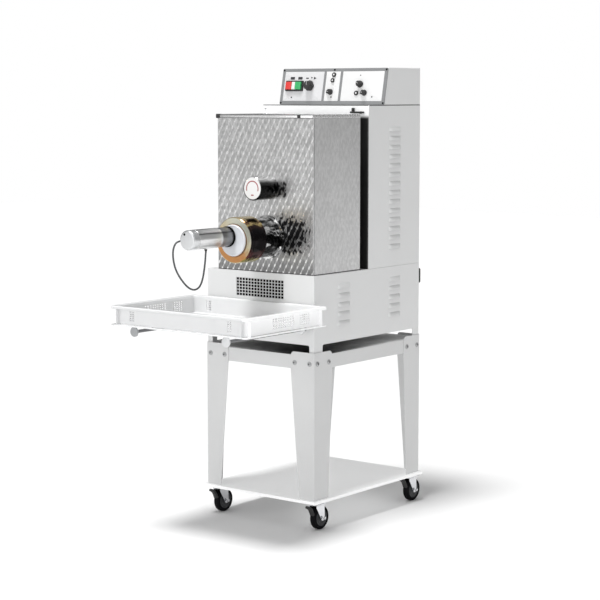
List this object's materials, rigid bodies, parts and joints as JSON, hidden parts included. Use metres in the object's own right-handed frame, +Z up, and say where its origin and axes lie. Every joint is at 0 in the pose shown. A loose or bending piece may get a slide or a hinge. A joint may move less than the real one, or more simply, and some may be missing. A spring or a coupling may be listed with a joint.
{
  "type": "dough extruder",
  "caption": "Free-standing dough mixing and extruding machine with a patterned hopper, brass die head, cutter, catch tray and castor stand.",
  "frame": {"origin": "centre of the whole object's footprint box, on the floor under the castor wheels", "axes": "+Z up, -Y the front that the operator faces, +X to the operator's right"},
  "size_m": [0.582, 1.058, 1.542],
  "materials": {
    "white_paint": "smooth semi-gloss powder coat",
    "light_grey_paint": "satin grey paint",
    "pearl_steel": "engine-turned stainless sheet with overlapping round spots",
    "stainless": "fine turned and polished",
    "brass": "polished, turned",
    "bronze": "turned bronze",
    "aluminium": "satin anodised",
    "cast_iron": "painted casting",
    "white_plastic": "milky moulded plastic",
    "black_plastic": "moulded",
    "red_plastic": "moulded",
    "green_plastic": "moulded",
    "zinc": "bright zinc plate",
    "tyre": "black rubber with a grey hub",
    "lead": "grey jacket"
  },
  "bodies": {
    "machine": {"bottom_shelf": "white_paint", "leg_front_left": "white_paint", "leg_front_right": "white_paint", "leg_rear_left": "white_paint", "leg_rear_right": "white_paint", "beam_front": "white_paint", "beam_rear": "white_paint", "beam_left": "white_paint", "beam_right": "white_paint", "stand_top": "light_grey_paint", "base_housing": "white_paint", "column_housing": "white_paint", "rear_cover": "white_paint", "rear_terminal_box": "black_plastic", "front_grille": "white_paint", "blower_scroll": "light_grey_paint", "console_housing": "white_paint", "console_fascia": "light_grey_paint", "switch_frame": "black_plastic", "hopper_housing": "pearl_steel", "mixing_bowl": "stainless", "lid_switch": "black_plastic", "extruder_barrel": "stainless", "die": "bronze", "cutter_disc": "white_plastic", "cutter_motor": "aluminium", "cutter_motor_cap": "aluminium", "cutter_lead": "lead", "gearbox": "cast_iron", "drive_motor": "cast_iron", "tray_rod_left": "stainless", "tray_rod_right": "stainless"},
    "lid": {"lid": "stainless"},
    "tray": {"catch_tray": "white_plastic"},
    "paddle_lock": {"paddle_lock_knob": "stainless"},
    "ring_nut": {"ring_nut": "brass"},
    "auger": {"auger": "stainless", "auger_gear": "cast_iron"},
    "paddle": {"mixing_paddle": "stainless", "paddle_gear": "cast_iron"},
    "cutter": {"cutter_blade": "stainless"},
    "blower": {"blower_wheel": "aluminium"},
    "start_button": {"start_button": "green_plastic"},
    "stop_button": {"stop_button": "red_plastic"},
    "mode_selector": {"mode_selector": "black_plastic"},
    "speed_knob": {"speed_knob": "black_plastic"},
    "timer_knob": {"timer_knob": "black_plastic"},
    "blower_knob": {"blower_knob": "black_plastic"},
    "castor_front_left": {"castor_fork_front_left": "zinc"},
    "wheel_front_left": {"castor_wheel_front_left": "tyre"},
    "pedal_front_left": {"brake_pedal_front_left": "black_plastic"},
    "castor_front_right": {"castor_fork_front_right": "zinc"},
    "wheel_front_right": {"castor_wheel_front_right": "tyre"},
    "pedal_front_right": {"brake_pedal_front_right": "black_plastic"},
    "castor_rear_left": {"castor_fork_rear_left": "zinc"},
    "wheel_rear_left": {"castor_wheel_rear_left": "tyre"},
    "pedal_rear_left": {"brake_pedal_rear_left": "black_plastic"},
    "castor_rear_right": {"castor_fork_rear_right": "zinc"},
    "wheel_rear_right": {"castor_wheel_rear_right": "tyre"},
    "pedal_rear_right": {"brake_pedal_rear_right": "black_plastic"}
  },
  "joints": [
    {"name": "lid_hinge", "type": "hinge", "parent": "machine", "child": "lid", "pos_m": [0, 0.1565, 1.372], "axis": [-1, 0, 0], "range_deg": [0, 100]},
    {"name": "tray_slide", "type": "slide", "parent": "machine", "child": "tray", "axis": [0, -1, 0], "range_m": [0, 0.25]},
    {"name": "paddle_lock_turn", "type": "hinge", "parent": "machine", "child": "paddle_lock", "pos_m": [0.03, -0.145, 1.142], "axis": [0, -1, 0], "range_deg": [0, 270]},
    {"name": "ring_nut_turn", "type": "hinge", "parent": "machine", "child": "ring_nut", "pos_m": [0.03, -0.235, 0.977], "axis": [0, -1, 0], "range_deg": [0, 360]},
    {"name": "auger_spin", "type": "hinge", "parent": "machine", "child": "auger", "pos_m": [0.03, -0.005, 0.977], "axis": [0, -1, 0], "continuous": true},
    {"name": "paddle_spin", "type": "hinge", "parent": "machine", "child": "paddle", "pos_m": [0.03, -0.005, 1.142], "axis": [0, -1, 0], "continuous": true},
    {"name": "cutter_spin", "type": "hinge", "parent": "machine", "child": "cutter", "pos_m": [0.03, -0.277, 0.977], "axis": [0, -1, 0], "continuous": true},
    {"name": "blower_spin", "type": "hinge", "parent": "machine", "child": "blower", "pos_m": [0, -0.067, 0.8045], "axis": [1, 0, 0], "continuous": true},
    {"name": "start_press", "type": "slide", "parent": "machine", "child": "start_button", "axis": [0, 0.9813, -0.1924], "range_m": [0, 0.003], "stiffness_N_per_m": 400},
    {"name": "stop_press", "type": "slide", "parent": "machine", "child": "stop_button", "axis": [0, 0.9813, -0.1924], "range_m": [0, 0.003], "stiffness_N_per_m": 400},
    {"name": "mode_turn", "type": "hinge", "parent": "machine", "child": "mode_selector", "pos_m": [-0.0985, 0.2928, 1.47976], "axis": [0, -0.9813, 0.1924], "range_deg": [-45, 45]},
    {"name": "speed_turn", "type": "hinge", "parent": "machine", "child": "speed_knob", "pos_m": [-0.0045, 0.28866, 1.45866], "axis": [0, -0.9813, 0.1924], "range_deg": [-135, 135]},
    {"name": "timer_turn", "type": "hinge", "parent": "machine", "child": "timer_knob", "pos_m": [0.121, 0.29395, 1.48565], "axis": [0, -0.9813, 0.1924], "range_deg": [-150, 150]},
    {"name": "blower_turn", "type": "hinge", "parent": "machine", "child": "blower_knob", "pos_m": [0.1425, 0.28808, 1.45572], "axis": [0, -0.9813, 0.1924], "range_deg": [-45, 45]},
    {"name": "swivel_front_left", "type": "hinge", "parent": "machine", "child": "castor_front_left", "pos_m": [-0.212, -0.077, 0.09], "axis": [0, 0, 1], "continuous": true},
    {"name": "roll_front_left", "type": "hinge", "parent": "castor_front_left", "child": "wheel_front_left", "pos_m": [-0.212, -0.055, 0.04], "axis": [1, 0, 0], "continuous": true},
    {"name": "brake_front_left", "type": "hinge", "parent": "castor_front_left", "child": "pedal_front_left", "pos_m": [-0.212, -0.095, 0.081], "axis": [1, 0, 0], "range_deg": [0, 15]},
    {"name": "swivel_front_right", "type": "hinge", "parent": "machine", "child": "castor_front_right", "pos_m": [0.212, -0.077, 0.09], "axis": [0, 0, 1], "continuous": true},
    {"name": "roll_front_right", "type": "hinge", "parent": "castor_front_right", "child": "wheel_front_right", "pos_m": [0.212, -0.055, 0.04], "axis": [1, 0, 0], "continuous": true},
    {"name": "brake_front_right", "type": "hinge", "parent": "castor_front_right", "child": "pedal_front_right", "pos_m": [0.212, -0.095, 0.081], "axis": [1, 0, 0], "range_deg": [0, 15]},
    {"name": "swivel_rear_left", "type": "hinge", "parent": "machine", "child": "castor_rear_left", "pos_m": [-0.212, 0.467, 0.09], "axis": [0, 0, 1], "continuous": true},
    {"name": "roll_rear_left", "type": "hinge", "parent": "castor_rear_left", "child": "wheel_rear_left", "pos_m": [-0.212, 0.489, 0.04], "axis": [1, 0, 0], "continuous": true},
    {"name": "brake_rear_left", "type": "hinge", "parent": "castor_rear_left", "child": "pedal_rear_left", "pos_m": [-0.212, 0.449, 0.081], "axis": [1, 0, 0], "range_deg": [0, 15]},
    {"name": "swivel_rear_right", "type": "hinge", "parent": "machine", "child": "castor_rear_right", "pos_m": [0.212, 0.467, 0.09], "axis": [0, 0, 1], "continuous": true},
    {"name": "roll_rear_right", "type": "hinge", "parent": "castor_rear_right", "child": "wheel_rear_right", "pos_m": [0.212, 0.489, 0.04], "axis": [1, 0, 0], "continuous": true},
    {"name": "brake_rear_right", "type": "hinge", "parent": "castor_rear_right", "child": "pedal_rear_right", "pos_m": [0.212, 0.449, 0.081], "axis": [1, 0, 0], "range_deg": [0, 15]}
  ],
  "couplings": [
    {"joint": "paddle_spin", "follows": "auger_spin", "ratio": -0.48649}
  ]
}
